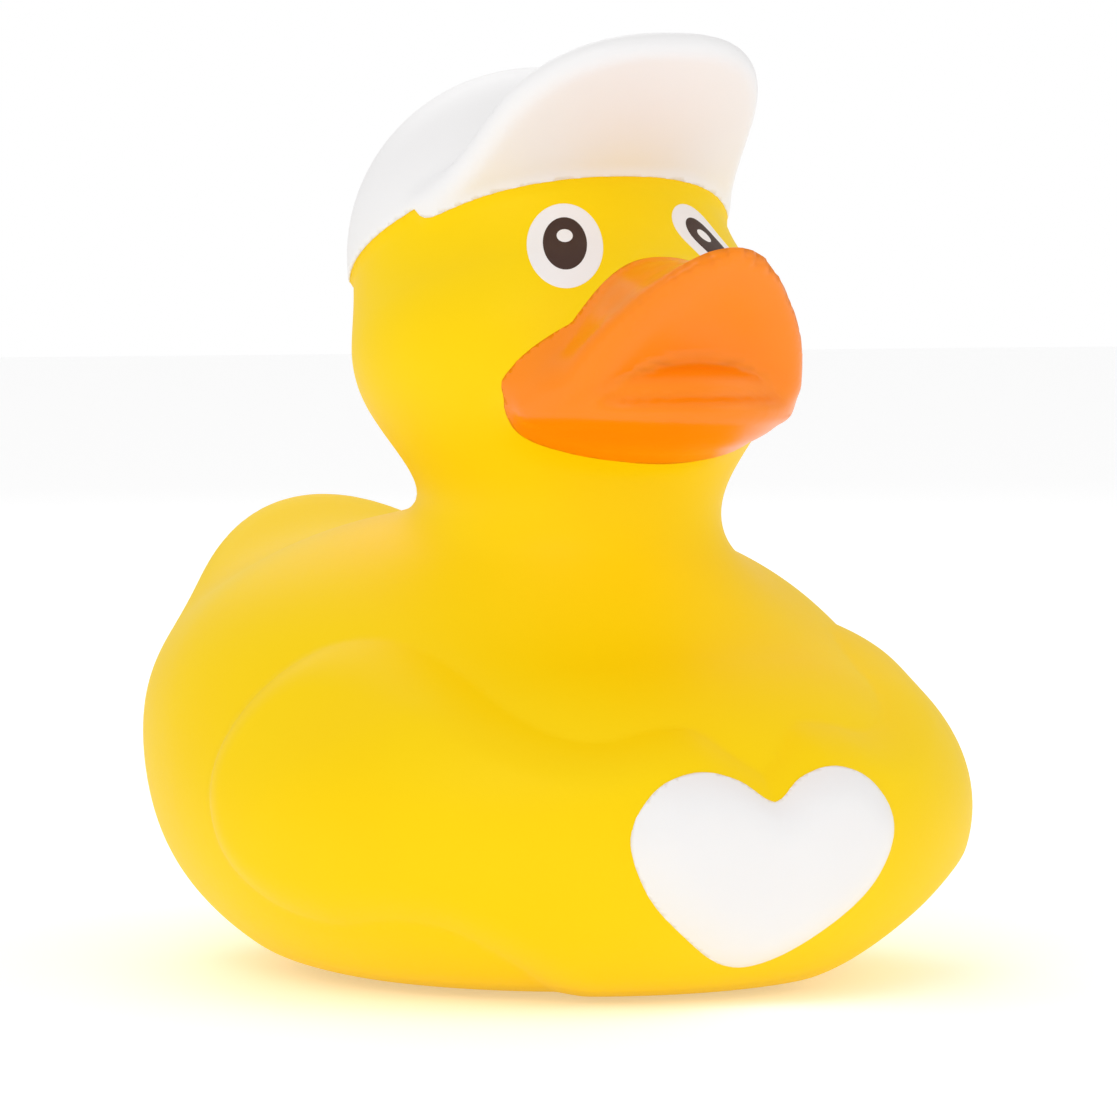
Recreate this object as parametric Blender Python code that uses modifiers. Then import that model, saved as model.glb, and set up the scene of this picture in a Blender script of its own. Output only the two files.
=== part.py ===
"""Rubber duck with a cap and a heart: one hollow vinyl moulding, built as one closed solid.

The duck faces -Y, its left side is +X, and its flat base lies on z = 0 with the origin at the
base's centre. Lengths are in millimetres until the last step, which scales the mesh to metres.
The shape is a field of signed distances: rounded lobes are blended like a sculptor's clay, the
wings, heart and cap edge are raised on them, and a remeshed form is drawn onto the field.
"""
import bmesh
import bpy
import math
import numpy as np
from mathutils import Matrix

MM = 0.001
NAME = "duck"

# driving dimensions, in millimetres
BELLY_CENTRE, BELLY_RADII = (0.0, -0.7, 16.6), (38.9, 40.3, 21.6)
RUMP_CENTRE, RUMP_RADII = (0.0, 12.2, 26.9), (35.0, 29.4, 19.2)
TAIL_CENTRE, TAIL_RADII, TAIL_PITCH = (0.0, 40.0, 27.8), (18.3, 22.2, 5.1), math.radians(51.2)
NECK_CENTRE, NECK_LENGTH, NECK_RADIUS = (0.0, -7.1, 47.0), 18.0, 9.7
HEAD_CENTRE, HEAD_RADII = (0.0, -2.1, 61.9), (21.6, 21.6, 15.7)
CROWN_CENTRE, CROWN_RADII = (0.0, 3.9, 71.2), (18.8, 18.8, 18.3)
CAP_HEIGHT, CAP_TILT, CAP_BACK, CAP_STEP = 74.55, 0.5, 12.0, 0.45
VISOR_ROOT, VISOR_PITCH, VISOR_ARCH = (0.0, -10.5, 79.6), math.radians(46.0), 0.012
VISOR_HALF_WIDTH, VISOR_LENGTH, VISOR_HALF_THICKNESS, VISOR_ROUND = 14.7, 18.2, 1.5, 1.4
BILL_BACK, BILL_HALF_WIDTH, BILL_REACH = -16.0, 14.8, 17.4
BILL_CORNER_HEIGHT, BILL_RISE, BILL_CHANNEL = 58.0, 15.5, 2.8
BILL_LEAN, LEAN_PIVOT, LEAN_LIMIT = 0.46, 62.0, 7.0
ARCH_POWER, BILL_SQUARENESS, VISOR_SQUARENESS = 2.3, 2.6, 2.3
HOLLOW_CENTRE, HOLLOW_RADII = (0.0, -38.6, 59.5), (18.0, 11.6, 12.5)
LOWER_BILL_CENTRE, LOWER_BILL_RADII, LOWER_BILL_TOP = (0.0, -16.0, 56.2), (14.0, 13.4, 5.0), 57.6
LIP_HALF_WIDTH, LIP_REACH, LIP_HEIGHT, LIP_RADIUS = 14.2, 12.6, 56.4, 1.25
TONGUE_CENTRE, TONGUE_RADII = (0.0, -21.0, 58.4), (12.2, 7.9, 4.0)
CORNER_CENTRE, CORNER_RADII = (11.0, -17.5, 58.8), (3.6, 6.5, 3.4)
WING_GIRTH_RADIUS, WING_RELIEF, WING_SHOULDER = 40.0, 1.7, 4.5
HEART_RELIEF, HEART_SHOULDER = 1.5, 4.0
BASE_ROUND, BASE_CUT = 3.0, 0.06
VOXELS = (1.25, 1.25, 0.8)
TARGET_TRIANGLES = 9000

# half outlines as (x, z), from the middle line outwards; the wing's x runs round the body
HEART_HALF = [(0, 19.9), (3.4, 22.0), (7.6, 22.9), (12.0, 21.2), (14.5, 16.8), (12.2, 11.2), (6.6, 6.4),
              (2.0, 4.0)]
BILL_HALF = [(0, 70.2), (4, 69.3), (7.5, 67.0), (10, 65.1), (13.6, 62.4), (15.2, 60.3), (15.6, 58.4),
             (14.3, 55.4), (11.1, 53.2), (5.5, 51.6), (0, 51.1)]
WING = [(0, 22.5), (2.6, 24.2), (6, 26.6), (10.5, 26.6), (15.5, 25.6), (20, 26), (25, 27.8), (32, 30.9),
        (40, 33.3), (48, 34.3), (55, 33.2), (60, 28.8), (62.5, 21.5), (60, 13.5), (54, 9), (46, 7.4),
        (38, 8.2), (32, 7.6), (26, 4.4), (20, 0), (14, -3), (-14, -3), (-14, 10), (-3, 21)]


def closed_curve(points, steps=5):
    """Round a closed outline through its points."""
    rounded = []
    for index in range(len(points)):
        before, start = np.array(points[index - 1]), np.array(points[index])
        end = np.array(points[(index + 1) % len(points)])
        after = np.array(points[(index + 2) % len(points)])
        for t in np.arange(steps) / steps:
            linear = (end - before) * t
            square = (2 * before - 5 * start + 4 * end - after) * t ** 2
            cube = (3 * start - before - 3 * end + after) * t ** 3
            rounded.append(start + 0.5 * (linear + square + cube))
    return rounded


def mirrored(half):
    """Close a half outline over the middle line."""
    return half + [(-x, z) for x, z in reversed(half) if x > 0]


HEART_OUTLINE = closed_curve(mirrored(HEART_HALF))
BILL_OUTLINE = closed_curve(mirrored(BILL_HALF))
WING_OUTLINE = closed_curve(WING)


def depth_inside(x, z, outline, where):
    """How deep the points marked in where lie inside an outline; negative outside it."""
    found = np.full(len(x), -9.0)
    x, z = x[where], z[where]
    nearest = np.full(len(x), np.inf)
    inside = np.zeros(len(x), bool)
    for (ax, az), (bx, bz) in zip(outline, outline[1:] + outline[:1]):
        dx, dz = bx - ax, bz - az
        t = np.clip(((x - ax) * dx + (z - az) * dz) / (dx * dx + dz * dz), 0, 1)
        nearest = np.minimum(nearest, (x - ax - t * dx) ** 2 + (z - az - t * dz) ** 2)
        side = ax + dx * (z - az) / (dz if dz else 1.0)
        inside ^= ((az > z) != (bz > z)) & (x < side)
    found[where] = np.where(inside, 1, -1) * np.sqrt(nearest)
    return found


def puffed(depth, width):
    """A pillow edge: steep at the outline and flat past the width."""
    t = np.clip(depth / width, 0, 1)
    return t * (2 - t)


def union(a, b, fillet):
    """Join two fields with a fillet."""
    h = np.clip(0.5 + 0.5 * (b - a) / fillet, 0, 1)
    return b * (1 - h) + a * h - fillet * h * (1 - h)


def common(a, b, fillet):
    """Keep what both fields hold, with a rounded edge."""
    return -union(-a, -b, fillet)


def ellipsoid(p, centre, radii, pitch=0.0):
    """An ellipsoid's field; the pitch lifts its far end."""
    x, y, z = (p - np.array(centre)).T
    q = np.stack([x, y * math.cos(pitch) + z * math.sin(pitch),
                  z * math.cos(pitch) - y * math.sin(pitch)], axis=1)
    unit = np.linalg.norm(q / radii, axis=1)
    slope = np.linalg.norm(q / np.square(radii), axis=1) + 1e-9
    return unit * (unit - 1) / slope


def upright_rod(p, centre, length, radius):
    """A vertical rod with round ends."""
    q = p - np.array(centre)
    q[:, 2] -= np.clip(q[:, 2], -length / 2, length / 2)
    return np.linalg.norm(q, axis=1) - radius


def body_field(p):
    """Belly, rump, tail, neck and head, flowing into each other."""
    belly = ellipsoid(p, BELLY_CENTRE, BELLY_RADII)
    rump = ellipsoid(p, RUMP_CENTRE, RUMP_RADII)
    tail = ellipsoid(p, TAIL_CENTRE, TAIL_RADII, TAIL_PITCH)
    neck = upright_rod(p, NECK_CENTRE, NECK_LENGTH, NECK_RADIUS)
    head = union(ellipsoid(p, HEAD_CENTRE, HEAD_RADII), ellipsoid(p, CROWN_CENTRE, CROWN_RADII), 3.0)
    trunk = union(union(union(belly, rump, 10.7), neck, 13.4), tail, 19.4)
    return union(trunk, head, 8.8)


def heart_depth(p):
    x, y, z = p.T
    return depth_inside(x, z, HEART_OUTLINE, (y < -15) & (z < 26) & (np.abs(x) < 18))


def bill_edge_depth(p):
    x, y, z = p.T
    return depth_inside(x, z, BILL_OUTLINE, (y < -8) & (z > 48) & (z < 74))


def cap_height(p):
    """Height above the tilted line of the cap's lower edge."""
    return p[:, 2] - CAP_HEIGHT + CAP_TILT * np.minimum(p[:, 1], CAP_BACK)


def relief(p):
    """How far the wings, the heart, the bill's edge and the cap's edge stand up."""
    x, y, z = p.T
    girth = WING_GIRTH_RADIUS * np.arctan2(np.abs(x), -y)
    wing = puffed(depth_inside(girth, z, WING_OUTLINE, (z < 38) & (y < 25)), WING_SHOULDER)
    heart = puffed(heart_depth(p), HEART_SHOULDER)
    bill = 0.5 * puffed(bill_edge_depth(p), 1.5)
    cap = CAP_STEP * puffed(cap_height(p) + 0.4, 0.8)
    return WING_RELIEF * wing + HEART_RELIEF * heart + bill + cap


def oval_field(across, along, half_width, length, power):
    """The field of a squarish oval, seen from above."""
    plan = np.stack([across, along], axis=1)
    radii = np.stack([half_width + 0 * across, length + 0 * across], axis=1)
    unit = np.sum(np.abs(plan / radii) ** power, axis=1) ** (1 / power)
    return (unit - 1) * unit / (np.linalg.norm(plan / radii ** 2, axis=1) + 1e-3)


def lip_field(p):
    """The low ridge along the lower bill's front edge."""
    x, y, z = np.abs(p[:, 0]), p[:, 1] - BILL_BACK, p[:, 2] - LIP_HEIGHT
    unit = np.hypot(x / LIP_HALF_WIDTH, y / LIP_REACH)
    round_front = unit * (unit - 1) / (np.hypot(x / LIP_HALF_WIDTH ** 2, y / LIP_REACH ** 2) + 1e-6)
    ridge = np.hypot(np.where(y > 0, x - LIP_HALF_WIDTH, round_front), z) - LIP_RADIUS
    return common(ridge, y + 2, 2.0)


def bill_field(p):
    """The scooped upper bill, its hollow front, the lower bill with its lip, and the tongue."""
    x, y, z = np.abs(p[:, 0]), p[:, 1], p[:, 2]
    share = np.minimum(x / BILL_HALF_WIDTH, 0.97)
    y = y + BILL_LEAN * LEAN_LIMIT * np.tanh((z - LEAN_PIVOT) / LEAN_LIMIT)
    rim_y = BILL_BACK - BILL_REACH * (1 - share ** BILL_SQUARENESS) ** (1 / BILL_SQUARENESS)
    behind_rim = np.clip((y - rim_y) / 8.0, 0, 1)
    channel = BILL_CHANNEL * behind_rim * (2 - behind_rim) * np.sqrt(1 - share ** 4)
    rim_z = BILL_CORNER_HEIGHT + BILL_RISE * (1 - (x / BILL_HALF_WIDTH) ** ARCH_POWER)
    side_slope = ARCH_POWER * BILL_RISE / BILL_HALF_WIDTH * (x / BILL_HALF_WIDTH) ** (ARCH_POWER - 1)
    under_top = (z - rim_z + channel) / np.sqrt(1 + side_slope ** 2)
    in_plan = oval_field(x, y - BILL_BACK, BILL_HALF_WIDTH, BILL_REACH, BILL_SQUARENESS)
    in_plan = np.where(y > BILL_BACK, x - BILL_HALF_WIDTH, in_plan)
    upper = common(common(under_top, in_plan, 2.2), 57.5 - z, 1.5)
    hollow = ellipsoid(np.stack([x, y, z], axis=1), HOLLOW_CENTRE, HOLLOW_RADII)
    upper = common(common(upper, -hollow, 4.0), p[:, 1] + 12, 2.0)
    lower = common(ellipsoid(p, LOWER_BILL_CENTRE, LOWER_BILL_RADII), z - LOWER_BILL_TOP, 2.2)
    corner = ellipsoid(np.stack([x, p[:, 1], z], axis=1), CORNER_CENTRE, CORNER_RADII)
    lower = union(union(lower, corner, 3.0), lip_field(p), 0.8)
    return union(union(upper, lower, 1.8), ellipsoid(p, TONGUE_CENTRE, TONGUE_RADII), 0.5)


def visor_field(p):
    """The turned-up visor: a thick, arched, round-edged plate whose corners reach round the head."""
    q = p - np.array(VISOR_ROOT)
    x = np.abs(q[:, 0])
    along = q[:, 2] * math.sin(VISOR_PITCH) - q[:, 1] * math.cos(VISOR_PITCH)
    through = -q[:, 1] * math.sin(VISOR_PITCH) - q[:, 2] * math.cos(VISOR_PITCH)
    through = through + VISOR_ARCH * x ** 2 - 0.8
    half_width = VISOR_HALF_WIDTH + 0.016 * np.clip(6 - along, 0, 14) ** 2
    outline = oval_field(x, np.maximum(along, 0), half_width, VISOR_LENGTH, VISOR_SQUARENESS)
    outline = outline + VISOR_ROUND
    faces = np.abs(through) - VISOR_HALF_THICKNESS + VISOR_ROUND
    edge = np.hypot(np.maximum(outline, 0), np.maximum(faces, 0))
    plate = np.minimum(np.maximum(outline, faces), 0) + edge - VISOR_ROUND
    return common(plate, -8 - along, 1.5)


def duck_field(p):
    skin = body_field(p) - relief(p)
    shape = union(union(skin, bill_field(p), 2.0), visor_field(p), 1.5)
    return common(shape, -p[:, 2], BASE_ROUND)


def slope_of_field(p, probe=0.04):
    """The field's gradient at each point."""
    steps = np.eye(3) * probe
    return np.stack([duck_field(p + s) - duck_field(p - s) for s in steps], axis=1) / (2 * probe)


def draw_onto_field(p, rounds):
    """Move points along the field's gradient until they lie on its skin."""
    for _ in range(rounds):
        gradient = slope_of_field(p)
        steepness = np.maximum(np.sum(gradient ** 2, axis=1), 0.3)
        move = -(duck_field(p) / steepness)[:, None] * gradient
        length = np.linalg.norm(move, axis=1, keepdims=True)
        p = p + move * np.minimum(1, 1.5 / np.maximum(length, 1e-9))
    return p


def read_points(mesh):
    flat = np.empty(3 * len(mesh.vertices))
    mesh.vertices.foreach_get("co", flat)
    return flat.reshape(-1, 3)


def write_points(mesh, points):
    mesh.vertices.foreach_set("co", points.ravel())
    mesh.update()


def add_lobe(bm, centre, radii, pitch=0.0):
    """One rough ellipsoid of the starting form."""
    made = bmesh.ops.create_uvsphere(bm, u_segments=48, v_segments=32, radius=1.0)
    place = Matrix.Translation(centre) @ Matrix.Rotation(pitch, 4, "X") @ Matrix.Diagonal((*radii, 1))
    bmesh.ops.transform(bm, matrix=place, verts=made["verts"])


def add_bill(bm):
    """The rough upper bill: a sphere pressed to a flat bottom, an upright wall and an arched top."""
    made = bmesh.ops.create_uvsphere(bm, u_segments=64, v_segments=48, radius=1.0)
    for vert in made["verts"]:
        across, along, up = vert.co
        arch = BILL_CORNER_HEIGHT + BILL_RISE * (1 - abs(across) ** ARCH_POWER)
        height = max(arch, 59.0) if up > 0.01 else 57.5
        lean = BILL_LEAN * LEAN_LIMIT * math.tanh((height - LEAN_PIVOT) / LEAN_LIMIT)
        back = BILL_BACK + BILL_REACH * along - lean
        vert.co = (BILL_HALF_WIDTH * across, back, height)


def add_visor(bm):
    """The rough visor: a sphere pressed to an arched plate and pitched, its back in the head."""
    made = bmesh.ops.create_uvsphere(bm, u_segments=64, v_segments=48, radius=1.0)
    for vert in made["verts"]:
        across, along, up = vert.co
        face = VISOR_HALF_THICKNESS if up > 0.01 else -VISOR_HALF_THICKNESS
        vert.co = (16 * across, 20.5 * along, face + VISOR_ARCH * (16 * across) ** 2)
    place = Matrix.Translation((0, -8.9, 76.9)) @ Matrix.Rotation(-VISOR_PITCH, 4, "X")
    bmesh.ops.transform(bm, matrix=place, verts=made["verts"])


def apply_modifiers(obj):
    """Put the evaluated mesh in place of the object's own."""
    graph = bpy.context.evaluated_depsgraph_get()
    mesh = bpy.data.meshes.new_from_object(obj.evaluated_get(graph))
    obj.modifiers.clear()
    obj.data = mesh


def add_bill(bm):
    """The rough upper bill: a sphere pressed to a flat bottom, an upright wall and an arched top."""
    made = bmesh.ops.create_uvsphere(bm, u_segments=64, v_segments=48, radius=1.0)
    for vert in made["verts"]:
        across, along, up = vert.co
        arch = BILL_CORNER_HEIGHT + BILL_RISE * (1 - abs(across) ** 2.2)
        height = max(arch, 59.0) if up > 0.01 else 57.5
        vert.co = (BILL_HALF_WIDTH * across, BILL_BACK + BILL_REACH * along, height)


def add_visor(bm):
    """The rough visor: a sphere pressed to an arched plate and pitched, its back in the head."""
    made = bmesh.ops.create_uvsphere(bm, u_segments=64, v_segments=48, radius=1.0)
    for vert in made["verts"]:
        across, along, up = vert.co
        face = VISOR_HALF_THICKNESS if up > 0.01 else -VISOR_HALF_THICKNESS
        vert.co = (16 * across, 20.5 * along, face + VISOR_ARCH * (16 * across) ** 2)
    place = Matrix.Translation((0, -8.9, 76.9)) @ Matrix.Rotation(-VISOR_PITCH, 4, "X")
    bmesh.ops.transform(bm, matrix=place, verts=made["verts"])


def fuse(obj, voxel):
    """Fuse everything into one closed skin with even faces."""
    remesh = obj.modifiers.new("fuse", "REMESH")
    remesh.mode = "VOXEL"
    remesh.voxel_size = voxel
    apply_modifiers(obj)


def simplify_half(obj):
    """Keep the +X half with larger faces, open on the middle plane."""
    bm = bmesh.new()
    bm.from_mesh(obj.data)
    everything = bm.verts[:] + bm.edges[:] + bm.faces[:]
    bmesh.ops.bisect_plane(bm, geom=everything, dist=1e-4, plane_co=(0, 0, 0), plane_no=(1, 0, 0),
                           clear_inner=True)
    bm.to_mesh(obj.data)
    bm.free()
    triangles = sum(len(face.vertices) - 2 for face in obj.data.polygons)
    reduce = obj.modifiers.new("reduce", "DECIMATE")
    reduce.ratio = TARGET_TRIANGLES / 2 / triangles
    apply_modifiers(obj)


def mirror_and_close(obj):
    """Mirror the half, cut the base to one flat face on z = 0, and scale to metres."""
    bm = bmesh.new()
    bm.from_mesh(obj.data)
    everything = bm.verts[:] + bm.edges[:] + bm.faces[:]
    bmesh.ops.mirror(bm, geom=everything, matrix=Matrix.Identity(4), merge_dist=1e-3, axis="X")
    bmesh.ops.remove_doubles(bm, verts=bm.verts, dist=1e-3)
    everything = bm.verts[:] + bm.edges[:] + bm.faces[:]
    bmesh.ops.bisect_plane(bm, geom=everything, dist=1e-5, plane_co=(0, 0, BASE_CUT),
                           plane_no=(0, 0, -1), clear_outer=True)
    rim = [edge for edge in bm.edges if edge.is_boundary]
    bmesh.ops.contextual_create(bm, geom=rim)
    bmesh.ops.translate(bm, vec=(0, 0, -BASE_CUT), verts=bm.verts)
    for vert in bm.verts:
        if abs(vert.co.z) < 0.001:
            vert.co.z = 0.0
    bmesh.ops.scale(bm, vec=(MM, MM, MM), verts=bm.verts)
    bmesh.ops.recalc_face_normals(bm, faces=bm.faces)
    bm.to_mesh(obj.data)
    bm.free()


def vinyl():
    material = bpy.data.materials.new("yellow_vinyl")
    material.use_nodes = True
    shader = material.node_tree.nodes["Principled BSDF"]
    shader.inputs["Base Color"].default_value = (1.0, 0.66, 0.0, 1.0)
    shader.inputs["Roughness"].default_value = 0.5
    shader.inputs["Metallic"].default_value = 0.0
    return material


for old in list(bpy.data.objects):
    bpy.data.objects.remove(old, do_unlink=True)

collection = bpy.data.collections.new("rubber_duck")
bpy.context.scene.collection.children.link(collection)

bm = bmesh.new()
add_lobe(bm, BELLY_CENTRE, BELLY_RADII)
add_lobe(bm, RUMP_CENTRE, RUMP_RADII)
add_lobe(bm, TAIL_CENTRE, (17, 20, 7), TAIL_PITCH)
add_lobe(bm, (0, -3, 46), (17, 17, 16))
add_lobe(bm, HEAD_CENTRE, (21.5, 21.5, 18))
add_lobe(bm, CROWN_CENTRE, CROWN_RADII)
add_lobe(bm, (0, -17, 56.6), (15, 13.6, 5.4))
add_bill(bm)
add_visor(bm)
mesh = bpy.data.meshes.new(NAME)
bm.to_mesh(mesh)
bm.free()
duck = bpy.data.objects.new(NAME, mesh)
collection.objects.link(duck)

for voxel in VOXELS:
    fuse(duck, voxel)
    write_points(duck.data, draw_onto_field(read_points(duck.data), 3))
simplify_half(duck)
points = read_points(duck.data)
on_middle = np.abs(points[:, 0]) < 0.01
points = draw_onto_field(points, 2)
points[on_middle, 0] = 0.0
write_points(duck.data, points)
mirror_and_close(duck)
duck.data.materials.clear()
duck.data.materials.append(vinyl())
duck.data.shade_smooth()
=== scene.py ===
import math
import bmesh
import bpy
import numpy as np
from mathutils import Matrix, Vector


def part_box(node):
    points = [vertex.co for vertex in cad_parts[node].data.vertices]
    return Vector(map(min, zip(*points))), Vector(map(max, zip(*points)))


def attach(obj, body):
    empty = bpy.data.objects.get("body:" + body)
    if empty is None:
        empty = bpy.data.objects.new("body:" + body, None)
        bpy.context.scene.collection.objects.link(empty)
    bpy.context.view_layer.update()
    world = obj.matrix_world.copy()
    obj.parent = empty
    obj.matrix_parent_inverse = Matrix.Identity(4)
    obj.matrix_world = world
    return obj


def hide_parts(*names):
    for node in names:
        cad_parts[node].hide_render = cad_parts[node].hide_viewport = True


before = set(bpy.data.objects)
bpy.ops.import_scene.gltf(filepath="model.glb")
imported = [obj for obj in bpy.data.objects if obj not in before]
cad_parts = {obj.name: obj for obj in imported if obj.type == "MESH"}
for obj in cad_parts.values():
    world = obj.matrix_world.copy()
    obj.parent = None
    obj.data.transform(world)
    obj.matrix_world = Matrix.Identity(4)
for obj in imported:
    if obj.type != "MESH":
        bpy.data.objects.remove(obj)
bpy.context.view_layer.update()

# ---------------------------------------------------------------- camera
# A long lens looks at the duck from its right front, a little above the level of the table.
# Lengths in this file are in millimetres, and MM turns them into Blender's metres.
MM = 0.001
VIEW_TURN, VIEW_RISE = math.radians(-29.0), math.radians(3.0)
VIEW_DISTANCE, VIEW_WIDTH, VIEW_HEIGHT = 600.0, 111.7, 40.95
SENSOR = 36.0

towards_camera = Vector((math.sin(VIEW_TURN) * math.cos(VIEW_RISE),
                         -math.cos(VIEW_TURN) * math.cos(VIEW_RISE), math.sin(VIEW_RISE)))
camera_data = bpy.data.cameras.new("camera")
camera_data.sensor_width = SENSOR
camera_data.lens = SENSOR * VIEW_DISTANCE / VIEW_WIDTH
camera = bpy.data.objects.new("camera", camera_data)
camera.location = (Vector((0, 0, VIEW_HEIGHT)) + towards_camera * VIEW_DISTANCE) * MM
camera.rotation_euler = towards_camera.to_track_quat("Z", "Y").to_euler()
bpy.context.collection.objects.link(camera)
bpy.context.scene.camera = camera
bpy.context.scene.view_settings.view_transform = "Standard"

# ---------------------------------------------------------------- studio
# A wide sheet of white paper under the duck, faintly luminous so that it reads as white, a white
# room around it, and three large soft boxes. The room looks whiter than the light it gives.
FLOOR_HALF = 3000.0
BOX_SIZE, NECK_LEVEL = 500.0, 50.0
floor_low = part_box("duck")[0]


def new_object(name, bm):
    """Turn a bmesh into an object at the origin, with smooth faces."""
    mesh = bpy.data.meshes.new(name)
    bm.to_mesh(mesh)
    bm.free()
    mesh.shade_smooth()
    piece = bpy.data.objects.new(name, mesh)
    bpy.context.collection.objects.link(piece)
    return piece


bm = bmesh.new()
bmesh.ops.create_grid(bm, x_segments=1, y_segments=1, size=FLOOR_HALF * MM)
bmesh.ops.translate(bm, vec=(0, 0, floor_low[2]), verts=bm.verts)
floor = new_object("floor", bm)

paper = bpy.data.materials.new("white_paper")
paper.use_nodes = True
paper_shader = paper.node_tree.nodes["Principled BSDF"]
paper_shader.inputs["Base Color"].default_value = (0.97, 0.97, 0.97, 1)
paper_shader.inputs["Emission Color"].default_value = (1, 1, 1, 1)
paper_shader.inputs["Emission Strength"].default_value = 0.26
paper_shader.inputs["Roughness"].default_value = 0.9
floor.data.materials.append(paper)

world = bpy.data.worlds.new("white_room")
bpy.context.scene.world = world
world.use_nodes = True
nodes, links = world.node_tree.nodes, world.node_tree.links
room = nodes["Background"]
room.inputs["Color"].default_value = (1, 1, 1, 1)
room.inputs["Strength"].default_value = 0.72
backdrop = nodes.new("ShaderNodeBackground")
backdrop.inputs["Color"].default_value = (1, 1, 1, 1)
backdrop.inputs["Strength"].default_value = 1.0
seen = nodes.new("ShaderNodeLightPath")
choice = nodes.new("ShaderNodeMixShader")
links.new(seen.outputs["Is Camera Ray"], choice.inputs["Fac"])
links.new(room.outputs[0], choice.inputs[1])
links.new(backdrop.outputs[0], choice.inputs[2])
links.new(choice.outputs[0], nodes["World Output"].inputs["Surface"])


def soft_box(name, place, power):
    """A square area light aimed at the duck's neck."""
    data = bpy.data.lights.new(name, "AREA")
    data.shape = "SQUARE"
    data.size = BOX_SIZE * MM
    data.energy = power
    lamp = bpy.data.objects.new(name, data)
    lamp.location = Vector(place) * MM
    lamp.rotation_euler = (lamp.location - Vector((0, 0, NECK_LEVEL)) * MM).to_track_quat("Z", "Y").to_euler()
    bpy.context.collection.objects.link(lamp)


soft_box("key_light", (-600, -500, 700), 1.6)
soft_box("fill_light", (700, -500, 350), 0.5)
soft_box("back_light", (200, 700, 600), 1.0)

# ---------------------------------------------------------------- moulding
# The duck itself is one hollow skin of soft vinyl, spun in a heated mould: belly, tail, head,
# cap, bill and wings in one piece, matt and yellow right through. Rounded lobes are fused, and the
# skin is drawn onto a field of signed distances that holds the mould's true shape.
BELLY_CENTRE, BELLY_RADII = (0.0, -0.7, 16.6), (38.9, 40.3, 21.6)
RUMP_CENTRE, RUMP_RADII = (0.0, 12.2, 26.9), (35.0, 29.4, 19.2)
TAIL_CENTRE, TAIL_RADII, TAIL_PITCH = (0.0, 40.0, 27.8), (18.3, 22.2, 5.1), math.radians(51.2)
NECK_CENTRE, NECK_LENGTH, NECK_RADIUS = (0.0, -7.1, 47.0), 18.0, 9.7
HEAD_CENTRE, HEAD_RADII = (0.0, -2.1, 61.9), (21.6, 21.6, 15.7)
CROWN_CENTRE, CROWN_RADII = (0.0, 3.9, 71.2), (18.8, 18.8, 18.3)
CAP_HEIGHT, CAP_TILT, CAP_BACK, CAP_STEP = 74.55, 0.5, 12.0, 0.45
VISOR_ROOT, VISOR_PITCH, VISOR_ARCH = (0.0, -10.5, 79.6), math.radians(46.0), 0.012
VISOR_HALF_WIDTH, VISOR_LENGTH, VISOR_HALF_THICKNESS, VISOR_ROUND = 14.7, 18.2, 1.5, 1.4
ROUGH_VISOR_CENTRE, ROUGH_VISOR_RADII = (0.0, -8.9, 76.9), (16.0, 20.5)
BILL_BACK, BILL_HALF_WIDTH, BILL_REACH = -16.0, 14.8, 17.4
BILL_CORNER_HEIGHT, BILL_RISE, BILL_CHANNEL = 58.0, 15.5, 2.8
BILL_LEAN, LEAN_PIVOT, LEAN_LIMIT = 0.46, 62.0, 7.0
UPPER_BILL_BOTTOM, UPPER_BILL_END, CHANNEL_RUN = 57.5, -12.0, 8.0
ARCH_POWER, BILL_SQUARENESS, VISOR_SQUARENESS = 2.3, 2.6, 2.3
HOLLOW_CENTRE, HOLLOW_RADII = (0.0, -38.6, 59.5), (18.0, 11.6, 12.5)
LOWER_BILL_CENTRE, LOWER_BILL_RADII, LOWER_BILL_TOP = (0.0, -16.0, 56.2), (14.0, 13.4, 5.0), 57.6
LIP_HALF_WIDTH, LIP_REACH, LIP_HEIGHT, LIP_RADIUS = 14.2, 12.6, 56.4, 1.25
TONGUE_CENTRE, TONGUE_RADII = (0.0, -21.0, 58.4), (12.2, 7.9, 4.0)
CORNER_CENTRE, CORNER_RADII = (11.0, -17.5, 58.8), (3.6, 6.5, 3.4)
WING_GIRTH_RADIUS, WING_RELIEF, WING_SHOULDER = 40.0, 1.7, 4.5
HEART_RELIEF, HEART_SHOULDER = 1.5, 4.0
CROWN_FILLET, RUMP_FILLET, NECK_FILLET, TAIL_FILLET, HEAD_FILLET = 3.0, 10.7, 13.4, 19.4, 8.8
BILL_FILLET, VISOR_FILLET, BASE_ROUND = 2.0, 1.5, 3.0
COARSE_VOXEL, FINE_VOXEL = 1.2, 0.62

# half outlines as (x, z), from the middle line outwards; the wing's x runs round the body
HEART_HALF = [(0, 19.9), (3.4, 22.0), (7.6, 22.9), (12.0, 21.2), (14.5, 16.8), (12.2, 11.2), (6.6, 6.4),
              (2.0, 4.0)]
BILL_HALF = [(0, 70.2), (4, 69.3), (7.5, 67.0), (10, 65.1), (13.6, 62.4), (15.2, 60.3), (15.6, 58.4),
             (14.3, 55.4), (11.1, 53.2), (5.5, 51.6), (0, 51.1)]
WING = [(0, 22.5), (2.6, 24.2), (6, 26.6), (10.5, 26.6), (15.5, 25.6), (20, 26), (25, 27.8), (32, 30.9),
        (40, 33.3), (48, 34.3), (55, 33.2), (60, 28.8), (62.5, 21.5), (60, 13.5), (54, 9), (46, 7.4),
        (38, 8.2), (32, 7.6), (26, 4.4), (20, 0), (14, -3), (-14, -3), (-14, 10), (-3, 21)]


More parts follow.
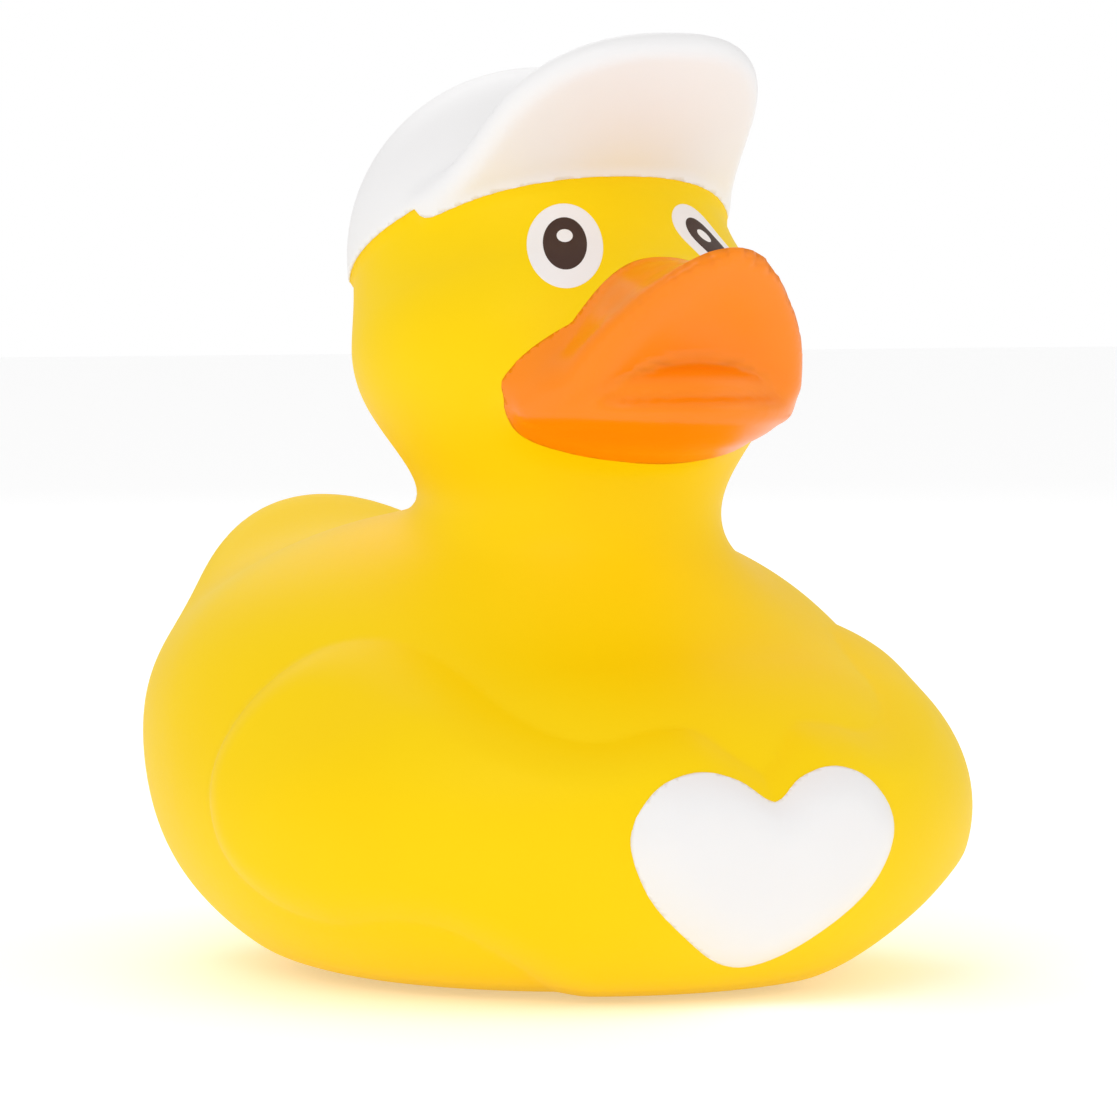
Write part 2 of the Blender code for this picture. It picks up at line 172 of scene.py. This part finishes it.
def closed_curve(points, steps=5):
    """Round a closed outline through its points."""
    rounded = []
    for index in range(len(points)):
        before, start = np.array(points[index - 1]), np.array(points[index])
        end = np.array(points[(index + 1) % len(points)])
        after = np.array(points[(index + 2) % len(points)])
        for t in np.arange(steps) / steps:
            linear = (end - before) * t
            square = (2 * before - 5 * start + 4 * end - after) * t ** 2
            cube = (3 * start - before - 3 * end + after) * t ** 3
            rounded.append(start + 0.5 * (linear + square + cube))
    return rounded


def mirrored(half):
    """Close a half outline over the middle line."""
    return half + [(-x, z) for x, z in reversed(half) if x > 0]


HEART_OUTLINE = closed_curve(mirrored(HEART_HALF))
BILL_OUTLINE = closed_curve(mirrored(BILL_HALF))
WING_OUTLINE = closed_curve(WING)


def depth_inside(x, z, outline, where):
    """How deep the points marked in where lie inside an outline; negative outside it."""
    found = np.full(len(x), -9.0)
    x, z = x[where], z[where]
    nearest = np.full(len(x), np.inf)
    inside = np.zeros(len(x), bool)
    for (ax, az), (bx, bz) in zip(outline, outline[1:] + outline[:1]):
        dx, dz = bx - ax, bz - az
        t = np.clip(((x - ax) * dx + (z - az) * dz) / (dx * dx + dz * dz), 0, 1)
        nearest = np.minimum(nearest, (x - ax - t * dx) ** 2 + (z - az - t * dz) ** 2)
        side = ax + dx * (z - az) / (dz if dz else 1.0)
        inside ^= ((az > z) != (bz > z)) & (x < side)
    found[where] = np.where(inside, 1, -1) * np.sqrt(nearest)
    return found


def puffed(depth, width):
    """A pillow edge: steep at the outline and flat past the width."""
    t = np.clip(depth / width, 0, 1)
    return t * (2 - t)


def union(a, b, fillet):
    """Join two fields with a fillet."""
    h = np.clip(0.5 + 0.5 * (b - a) / fillet, 0, 1)
    return b * (1 - h) + a * h - fillet * h * (1 - h)


def common(a, b, fillet):
    """Keep what both fields hold, with a rounded edge."""
    return -union(-a, -b, fillet)


def ellipsoid(p, centre, radii, pitch=0.0):
    """An ellipsoid's field; the pitch lifts its far end."""
    x, y, z = (p - np.array(centre)).T
    q = np.stack([x, y * math.cos(pitch) + z * math.sin(pitch),
                  z * math.cos(pitch) - y * math.sin(pitch)], axis=1)
    unit = np.linalg.norm(q / radii, axis=1)
    slope = np.linalg.norm(q / np.square(radii), axis=1) + 1e-9
    return unit * (unit - 1) / slope


def upright_rod(p, centre, length, radius):
    """A vertical rod with round ends."""
    q = p - np.array(centre)
    q[:, 2] -= np.clip(q[:, 2], -length / 2, length / 2)
    return np.linalg.norm(q, axis=1) - radius


def body_field(p):
    """Belly, rump, tail, neck and head, flowing into each other."""
    belly = ellipsoid(p, BELLY_CENTRE, BELLY_RADII)
    rump = ellipsoid(p, RUMP_CENTRE, RUMP_RADII)
    tail = ellipsoid(p, TAIL_CENTRE, TAIL_RADII, TAIL_PITCH)
    neck = upright_rod(p, NECK_CENTRE, NECK_LENGTH, NECK_RADIUS)
    crown = ellipsoid(p, CROWN_CENTRE, CROWN_RADII)
    head = union(ellipsoid(p, HEAD_CENTRE, HEAD_RADII), crown, CROWN_FILLET)
    trunk = union(union(union(belly, rump, RUMP_FILLET), neck, NECK_FILLET), tail, TAIL_FILLET)
    return union(trunk, head, HEAD_FILLET)


def heart_depth(p):
    """How deep points lie inside the heart on the chest."""
    x, y, z = p.T
    return depth_inside(x, z, HEART_OUTLINE, (y < -15) & (z < 26) & (np.abs(x) < 18))


def bill_edge_depth(p):
    """How deep points lie inside the outline where the bill meets the face."""
    x, y, z = p.T
    return depth_inside(x, z, BILL_OUTLINE, (y < -8) & (z > 48) & (z < 74))


def cap_height(p):
    """Height above the tilted line of the cap's lower edge."""
    return p[:, 2] - CAP_HEIGHT + CAP_TILT * np.minimum(p[:, 1], CAP_BACK)


def relief(p):
    """How far the wings, the heart, the bill's edge and the cap's edge stand up."""
    x, y, z = p.T
    girth = WING_GIRTH_RADIUS * np.arctan2(np.abs(x), -y)
    wing = puffed(depth_inside(girth, z, WING_OUTLINE, (z < 38) & (y < 25)), WING_SHOULDER)
    heart = puffed(heart_depth(p), HEART_SHOULDER)
    bill = 0.5 * puffed(bill_edge_depth(p), 1.5)
    cap = CAP_STEP * puffed(cap_height(p) + 0.4, 0.8)
    return WING_RELIEF * wing + HEART_RELIEF * heart + bill + cap


def oval_field(across, along, half_width, length, power):
    """The field of a squarish oval, seen from above."""
    plan = np.stack([across, along], axis=1)
    radii = np.stack([half_width + 0 * across, length + 0 * across], axis=1)
    unit = np.sum(np.abs(plan / radii) ** power, axis=1) ** (1 / power)
    return (unit - 1) * unit / (np.linalg.norm(plan / radii ** 2, axis=1) + 1e-3)


def lip_field(p):
    """The low ridge along the lower bill's front edge."""
    x, y, z = np.abs(p[:, 0]), p[:, 1] - BILL_BACK, p[:, 2] - LIP_HEIGHT
    unit = np.hypot(x / LIP_HALF_WIDTH, y / LIP_REACH)
    round_front = unit * (unit - 1) / (np.hypot(x / LIP_HALF_WIDTH ** 2, y / LIP_REACH ** 2) + 1e-6)
    ridge = np.hypot(np.where(y > 0, x - LIP_HALF_WIDTH, round_front), z) - LIP_RADIUS
    return common(ridge, y + 2, 2.0)


def bill_field(p):
    """The scooped upper bill, its hollow front, the lower bill with its lip, and the tongue."""
    x, y, z = np.abs(p[:, 0]), p[:, 1], p[:, 2]
    share = np.minimum(x / BILL_HALF_WIDTH, 0.97)
    y = y + BILL_LEAN * LEAN_LIMIT * np.tanh((z - LEAN_PIVOT) / LEAN_LIMIT)
    rim_y = BILL_BACK - BILL_REACH * (1 - share ** BILL_SQUARENESS) ** (1 / BILL_SQUARENESS)
    behind_rim = np.clip((y - rim_y) / CHANNEL_RUN, 0, 1)
    channel = BILL_CHANNEL * behind_rim * (2 - behind_rim) * np.sqrt(1 - share ** 4)
    rim_z = BILL_CORNER_HEIGHT + BILL_RISE * (1 - (x / BILL_HALF_WIDTH) ** ARCH_POWER)
    side_slope = ARCH_POWER * BILL_RISE / BILL_HALF_WIDTH * (x / BILL_HALF_WIDTH) ** (ARCH_POWER - 1)
    under_top = (z - rim_z + channel) / np.sqrt(1 + side_slope ** 2)
    in_plan = oval_field(x, y - BILL_BACK, BILL_HALF_WIDTH, BILL_REACH, BILL_SQUARENESS)
    in_plan = np.where(y > BILL_BACK, x - BILL_HALF_WIDTH, in_plan)
    upper = common(common(under_top, in_plan, 2.2), UPPER_BILL_BOTTOM - z, 1.5)
    hollow = ellipsoid(np.stack([x, y, z], axis=1), HOLLOW_CENTRE, HOLLOW_RADII)
    upper = common(common(upper, -hollow, 4.0), p[:, 1] - UPPER_BILL_END, 2.0)
    lower = common(ellipsoid(p, LOWER_BILL_CENTRE, LOWER_BILL_RADII), z - LOWER_BILL_TOP, 2.2)
    corner = ellipsoid(np.stack([x, p[:, 1], z], axis=1), CORNER_CENTRE, CORNER_RADII)
    lower = union(union(lower, corner, 3.0), lip_field(p), 0.8)
    return union(union(upper, lower, 1.8), ellipsoid(p, TONGUE_CENTRE, TONGUE_RADII), 0.5)


def visor_field(p):
    """The turned-up visor: a thick, arched, round-edged plate whose corners reach round the head."""
    q = p - np.array(VISOR_ROOT)
    x = np.abs(q[:, 0])
    along = q[:, 2] * math.sin(VISOR_PITCH) - q[:, 1] * math.cos(VISOR_PITCH)
    through = -q[:, 1] * math.sin(VISOR_PITCH) - q[:, 2] * math.cos(VISOR_PITCH)
    through = through + VISOR_ARCH * x ** 2 - 0.8
    half_width = VISOR_HALF_WIDTH + 0.016 * np.clip(6 - along, 0, 14) ** 2
    outline = oval_field(x, np.maximum(along, 0), half_width, VISOR_LENGTH, VISOR_SQUARENESS)
    outline = outline + VISOR_ROUND
    faces = np.abs(through) - VISOR_HALF_THICKNESS + VISOR_ROUND
    edge = np.hypot(np.maximum(outline, 0), np.maximum(faces, 0))
    plate = np.minimum(np.maximum(outline, faces), 0) + edge - VISOR_ROUND
    return common(plate, -8 - along, 1.5)


def duck_field(p):
    """The whole moulding, standing on its flat base."""
    skin = body_field(p) - relief(p)
    shape = union(union(skin, bill_field(p), BILL_FILLET), visor_field(p), VISOR_FILLET)
    return common(shape, -p[:, 2], BASE_ROUND)


def slope_of_field(p, probe=0.04):
    """The field's gradient at each point."""
    steps = np.eye(3) * probe
    return np.stack([duck_field(p + s) - duck_field(p - s) for s in steps], axis=1) / (2 * probe)


def draw_onto_field(p, rounds):
    """Move points along the field's gradient until they lie on its skin."""
    for _ in range(rounds):
        gradient = slope_of_field(p)
        steepness = np.maximum(np.sum(gradient ** 2, axis=1), 0.3)
        move = -(duck_field(p) / steepness)[:, None] * gradient
        length = np.linalg.norm(move, axis=1, keepdims=True)
        p = p + move * np.minimum(1, 1.5 / np.maximum(length, 1e-9))
    return p


def read_points(mesh):
    flat = np.empty(3 * len(mesh.vertices))
    mesh.vertices.foreach_get("co", flat)
    return flat.reshape(-1, 3)


def write_points(mesh, points):
    mesh.vertices.foreach_set("co", points.ravel())
    mesh.update()


def add_lobe(bm, centre, radii, pitch=0.0):
    """One rough ellipsoid of the starting form."""
    made = bmesh.ops.create_uvsphere(bm, u_segments=48, v_segments=32, radius=1.0)
    place = Matrix.Translation(centre) @ Matrix.Rotation(pitch, 4, "X") @ Matrix.Diagonal((*radii, 1))
    bmesh.ops.transform(bm, matrix=place, verts=made["verts"])


def add_bill(bm):
    """The rough upper bill: a sphere pressed to a flat bottom, an upright wall and an arched top."""
    made = bmesh.ops.create_uvsphere(bm, u_segments=64, v_segments=48, radius=1.0)
    for vert in made["verts"]:
        across, along, up = vert.co
        arch = BILL_CORNER_HEIGHT + BILL_RISE * (1 - abs(across) ** ARCH_POWER)
        height = max(arch, UPPER_BILL_BOTTOM + 1.5) if up > 0.01 else UPPER_BILL_BOTTOM
        lean = BILL_LEAN * LEAN_LIMIT * math.tanh((height - LEAN_PIVOT) / LEAN_LIMIT)
        back = BILL_BACK + BILL_REACH * along - lean
        vert.co = (BILL_HALF_WIDTH * across, back, height)


def add_visor(bm):
    """The rough visor: a sphere pressed to an arched plate and pitched, its back in the head."""
    made = bmesh.ops.create_uvsphere(bm, u_segments=64, v_segments=48, radius=1.0)
    for vert in made["verts"]:
        across, along, up = vert.co
        face = VISOR_HALF_THICKNESS if up > 0.01 else -VISOR_HALF_THICKNESS
        x, y = ROUGH_VISOR_RADII[0] * across, ROUGH_VISOR_RADII[1] * along
        vert.co = (x, y, face + VISOR_ARCH * x ** 2)
    place = Matrix.Translation(ROUGH_VISOR_CENTRE) @ Matrix.Rotation(-VISOR_PITCH, 4, "X")
    bmesh.ops.transform(bm, matrix=place, verts=made["verts"])


def fuse(piece, voxel):
    """Fuse everything into one closed skin with even faces."""
    remesh = piece.modifiers.new("fuse", "REMESH")
    remesh.mode = "VOXEL"
    remesh.voxel_size = voxel
    graph = bpy.context.evaluated_depsgraph_get()
    mesh = bpy.data.meshes.new_from_object(piece.evaluated_get(graph))
    piece.modifiers.clear()
    piece.data = mesh


def halve(mesh):
    """Keep the +X half, open on the middle plane."""
    bm = bmesh.new()
    bm.from_mesh(mesh)
    everything = bm.verts[:] + bm.edges[:] + bm.faces[:]
    bmesh.ops.bisect_plane(bm, geom=everything, dist=1e-4, plane_co=(0, 0, 0), plane_no=(1, 0, 0),
                           clear_inner=True)
    bm.to_mesh(mesh)
    bm.free()


def double(mesh):
    """Mirror the half over the middle plane and weld the seam."""
    bm = bmesh.new()
    bm.from_mesh(mesh)
    everything = bm.verts[:] + bm.edges[:] + bm.faces[:]
    bmesh.ops.mirror(bm, geom=everything, matrix=Matrix.Identity(4), merge_dist=1e-3, axis="X")
    bmesh.ops.remove_doubles(bm, verts=bm.verts, dist=1e-4)
    bmesh.ops.recalc_face_normals(bm, faces=bm.faces)
    bm.to_mesh(mesh)
    bm.free()


bm = bmesh.new()
add_lobe(bm, BELLY_CENTRE, BELLY_RADII)
add_lobe(bm, RUMP_CENTRE, RUMP_RADII)
add_lobe(bm, TAIL_CENTRE, (17, 20, 7), TAIL_PITCH)
add_lobe(bm, (0, -3, 46), (17, 17, 16))
add_lobe(bm, HEAD_CENTRE, (21.5, 21.5, 18))
add_lobe(bm, CROWN_CENTRE, CROWN_RADII)
add_lobe(bm, (0, -17, 56.6), (15, 13.6, 5.4))
add_bill(bm)
add_visor(bm)
skin = new_object("vinyl_moulding", bm)
for voxel in (COARSE_VOXEL, COARSE_VOXEL, FINE_VOXEL):
    fuse(skin, voxel)
    write_points(skin.data, draw_onto_field(read_points(skin.data), 3))
halve(skin.data)
points = read_points(skin.data)
on_seam = np.abs(points[:, 0]) < 0.01
points = draw_onto_field(points, 3)
points[on_seam, 0] = 0
points[:, 2] = np.where(points[:, 2] < 0.02, 0, points[:, 2])
write_points(skin.data, points)
double(skin.data)


class Socket:
    """Wraps a shader socket, so that sums of values read as plain arithmetic."""

    def __init__(self, tree, link):
        self.tree, self.link = tree, link

    def maths(self, operation, a, b):
        return self.tree.add("ShaderNodeMath", {"operation": operation}, {0: a, 1: b})

    def __add__(self, other):
        return self.maths("ADD", self, other)

    def __mul__(self, other):
        return self.maths("MULTIPLY", self, other)

    __radd__, __rmul__ = __add__, __mul__


class Finish:
    """A material with one Principled shader, and a way to add nodes to it."""

    def __init__(self, name, **constants):
        self.material = bpy.data.materials.new(name)
        self.material.use_nodes = True
        self.nodes = self.material.node_tree.nodes
        self.links = self.material.node_tree.links
        self.shader = self.nodes["Principled BSDF"]
        for socket, value in constants.items():
            self.shader.inputs[socket.replace("_", " ")].default_value = value

    def add(self, kind, settings=None, sockets=None, output=0):
        node = self.nodes.new(kind)
        for key, value in (settings or {}).items():
            setattr(node, key, value)
        for key, value in (sockets or {}).items():
            self.feed(node.inputs[key], value)
        return Socket(self, node.outputs[output])

    def feed(self, socket, value):
        if isinstance(value, Socket):
            self.links.new(value.link, socket)
        else:
            socket.default_value = value

    def noise(self, size, detail=2.0):
        """Noise whose blobs are about this many millimetres across."""
        place = self.add("ShaderNodeTexCoord", output="Object")
        return self.add("ShaderNodeTexNoise", {"noise_dimensions": "3D"},
                        {"Vector": place, "Scale": 1 / (size * MM), "Detail": detail})

    def mix(self, factor, a, b):
        return self.add("ShaderNodeMix", {"data_type": "RGBA"}, {"Factor": factor, 6: a, 7: b}, output=2)

    def bump(self, height, depth):
        """Relief of this many millimetres at full height."""
        normal = self.add("ShaderNodeBump", None, {"Height": height, "Distance": depth * MM, "Strength": 1.0})
        self.feed(self.shader.inputs["Normal"], normal)


def vinyl():
    """Matt yellow vinyl: a faint cloudiness of the pigment and the fine grain of the mould."""
    finish = Finish("yellow_vinyl", IOR=1.22)
    cloud = finish.noise(14.0)
    colour = finish.mix(cloud, (1.0, 0.66, 0.0, 1), (1.0, 0.70, 0.0, 1))
    finish.feed(finish.shader.inputs["Base Color"], colour)
    grain = finish.noise(0.45, 3.0)
    finish.feed(finish.shader.inputs["Roughness"], 0.44 + 0.10 * grain)
    finish.bump(grain + 0.6 * finish.noise(2.5), 0.012)
    return finish.material


def finish_piece(piece, material):
    """Scale to metres, colour it and let it ride on the duck."""
    piece.data.transform(Matrix.Scale(MM, 4))
    piece.data.materials.clear()
    piece.data.materials.append(material)
    piece.data.shade_smooth()
    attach(piece, "root")


# ---------------------------------------------------------------- paint coats
# The bill, the cap and the heart are sprayed through masks onto the moulding, each as a thin even
# coat with a crisp edge. A coat is cut out of a copy of the skin along its mask's edge and
# stands a few hundredths of a millimetre proud of it.
COAT_THICKNESS, MASK_MARGIN = 0.07, 0.35
OUTSIDE = -9.0


def cut_along(bm, height):
    """Split the faces that the zero line of a height crosses, and drop what lies below it."""
    values = dict(zip(bm.verts, height))
    new_verts = []
    for edge in list(bm.edges):
        a, b = edge.verts
        if (values[a] > 0) != (values[b] > 0):
            share = values[a] / (values[a] - values[b])
            _, vert = bmesh.utils.edge_split(edge, a, share)
            values[vert] = 0.0
            new_verts.append(vert)
    bmesh.ops.connect_verts(bm, verts=new_verts)
    outside = [face for face in bm.faces if min(values[vert] for vert in face.verts) < 0]
    bmesh.ops.delete(bm, geom=outside, context="FACES")


def paint_coat(name, mask):
    """A closed coat over the part of the skin where the mask is above zero."""
    bm = bmesh.new()
    bm.from_mesh(skin.data)
    cut_along(bm, mask(np.array([vert.co[:] for vert in bm.verts])))
    raised = bmesh.ops.extrude_face_region(bm, geom=bm.faces[:], use_keep_orig=True)["geom"]
    raised = {item for item in raised if isinstance(item, bmesh.types.BMVert)}
    points = draw_onto_field(np.array([vert.co[:] for vert in bm.verts]), 2)
    gradient = slope_of_field(points)
    gradient /= np.linalg.norm(gradient, axis=1, keepdims=True)
    for vert, point, outward in zip(bm.verts, points, gradient):
        vert.co = point + (COAT_THICKNESS if vert in raised else -COAT_THICKNESS) * outward
    bmesh.ops.recalc_face_normals(bm, faces=bm.faces)
    return new_object(name, bm)


def bill_mask(p):
    """Above zero on the bill and inside its outline on the face."""
    return np.maximum(bill_edge_depth(p), np.where(p[:, 2] < 76, MASK_MARGIN - bill_field(p), OUTSIDE))


def cap_mask(p):
    """Above zero over the cap's lower edge and on the visor."""
    return np.maximum(np.where(p[:, 2] > 60, cap_height(p), OUTSIDE), MASK_MARGIN - visor_field(p))


def paint(name, light, dark, roughness):
    """Sprayed paint: nearly even, with fine orange-peel relief."""
    finish = Finish(name, IOR=1.4)
    colour = finish.mix(finish.noise(9.0), light, dark)
    finish.feed(finish.shader.inputs["Base Color"], colour)
    peel = finish.noise(0.9, 2.0)
    finish.feed(finish.shader.inputs["Roughness"], roughness + 0.08 * peel)
    finish.bump(peel, 0.006)
    return finish.material


ORANGE = paint("orange_paint", (1.0, 0.235, 0.0, 1), (1.0, 0.275, 0.0, 1), 0.26)
WHITE = paint("white_paint", (0.90, 0.89, 0.89, 1), (0.93, 0.92, 0.92, 1), 0.40)

bill_coat = paint_coat("bill_paint", bill_mask)
cap_coat = paint_coat("cap_paint", cap_mask)
heart_coat = paint_coat("heart_paint", heart_depth)

# ---------------------------------------------------------------- eyes
# Each eye is pad-printed: a white oval, a dark brown pupil on it and a small white glint,
# one print over the other. A print is a very flat lens laid on the skin of the head.
EYE_TURN = math.radians(27.0)
EYE_HEIGHT, START_DEPTH = 72.2, 30.0


def print_disc(name, side, rise, radii, thickness):
    """A flat oval on the head, risen from the eye's centre."""
    bm = bmesh.new()
    bmesh.ops.create_uvsphere(bm, u_segments=64, v_segments=24, radius=1.0)
    turn = side * EYE_TURN
    outward = np.array([math.sin(turn), -math.cos(turn), 0.0])
    sideways = np.array([math.cos(turn), math.sin(turn), 0.0])
    oval = np.array([vert.co[:] for vert in bm.verts])
    across = radii[0] * oval[:, 0] * side
    upward = radii[1] * oval[:, 1] + rise + EYE_HEIGHT
    points = outward * START_DEPTH + np.outer(across, sideways) + np.outer(upward, (0, 0, 1))
    for _ in range(40):
        points -= np.outer(0.8 * duck_field(points), outward)
    gradient = slope_of_field(points)
    gradient /= np.linalg.norm(gradient, axis=1, keepdims=True)
    lift = np.sign(oval[:, 2]) * np.abs(oval[:, 2]) ** 0.3 * thickness
    for vert, point in zip(bm.verts, points + gradient * lift[:, None]):
        vert.co = point
    bmesh.ops.recalc_face_normals(bm, faces=bm.faces)
    return new_object(name, bm)


EYE_WHITE = paint("print_white", (0.90, 0.86, 0.84, 1), (0.92, 0.88, 0.86, 1), 0.35)
EYE_DARK = paint("print_dark", (0.040, 0.014, 0.008, 1), (0.055, 0.022, 0.013, 1), 0.5)

for side, word in ((-1, "right"), (1, "left")):
    white = print_disc(word + "_eye_white", side, 0.0, (3.7, 4.1), 0.05)
    finish_piece(white, EYE_WHITE)
    pupil = print_disc(word + "_pupil", side, 0.2, (2.15, 2.55), 0.10)
    finish_piece(pupil, EYE_DARK)
    glint = print_disc(word + "_glint", side, 0.9, (0.8, 0.65), 0.15)
    finish_piece(glint, EYE_WHITE)

finish_piece(bill_coat, ORANGE)
finish_piece(cap_coat, WHITE)
finish_piece(heart_coat, WHITE)
finish_piece(skin, vinyl())
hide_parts("duck")
